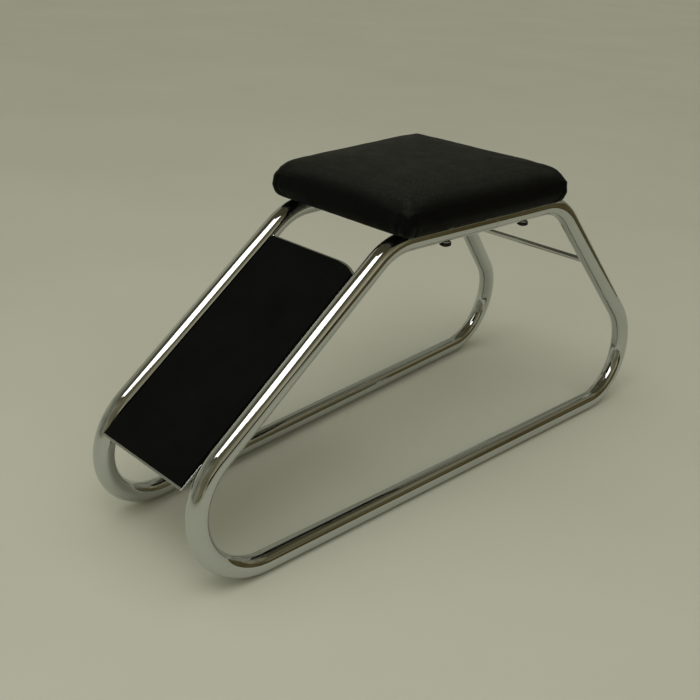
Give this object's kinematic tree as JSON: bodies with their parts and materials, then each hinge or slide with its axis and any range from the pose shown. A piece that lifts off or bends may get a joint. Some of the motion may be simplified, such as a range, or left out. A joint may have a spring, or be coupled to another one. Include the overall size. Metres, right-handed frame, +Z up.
{
  "type": "straddle stool",
  "caption": "Low straddle stool: two bent chrome tube loops, padded vinyl seat on top, sloping footrest plate with a mat between the front legs.",
  "frame": {"origin": "middle of the footprint, on the floor", "axes": "+Z up, -Y to the front where the footrest is, +X to the sitter's left when facing the footrest"},
  "size_m": [0.2988, 0.8174, 0.4111],
  "materials": {
    "chrome_tube": "bright polished chrome plate, light wear",
    "chrome_rod": "chrome plate",
    "weld_metal": "plated weld bead",
    "plate_steel": "chrome plated sheet steel",
    "inner_steel": "zinc plated steel",
    "bolt_steel": "zinc plated steel",
    "staple_wire": "galvanised wire",
    "mat_rubber": "matte black, fine grain",
    "plywood": "raw plywood",
    "foam": "open cell foam",
    "black_vinyl": "black upholstery vinyl, fine leather grain",
    "dust_cloth": "black non-woven cloth",
    "cap_plastic": "black moulded plastic"
  },
  "bodies": {
    "root": {"right_side_frame": "chrome_tube", "left_side_frame": "chrome_tube", "right_joint_sleeve": "inner_steel", "left_joint_sleeve": "inner_steel", "rear_cross_rod": "chrome_rod", "rear_rod_welds": "weld_metal", "footrest_plate": "plate_steel", "footrest_welds": "weld_metal", "footrest_mat": "mat_rubber", "seat_board": "plywood", "seat_foam": "foam", "seat_cover": "black_vinyl", "seat_dust_cover": "dust_cloth", "cover_staples": "staple_wire", "dust_cover_staples": "staple_wire", "seat_tee_nuts": "inner_steel", "seat_bolts": "bolt_steel", "bolt_washers": "bolt_steel", "bolt_caps": "cap_plastic"}
  },
  "joints": []
}
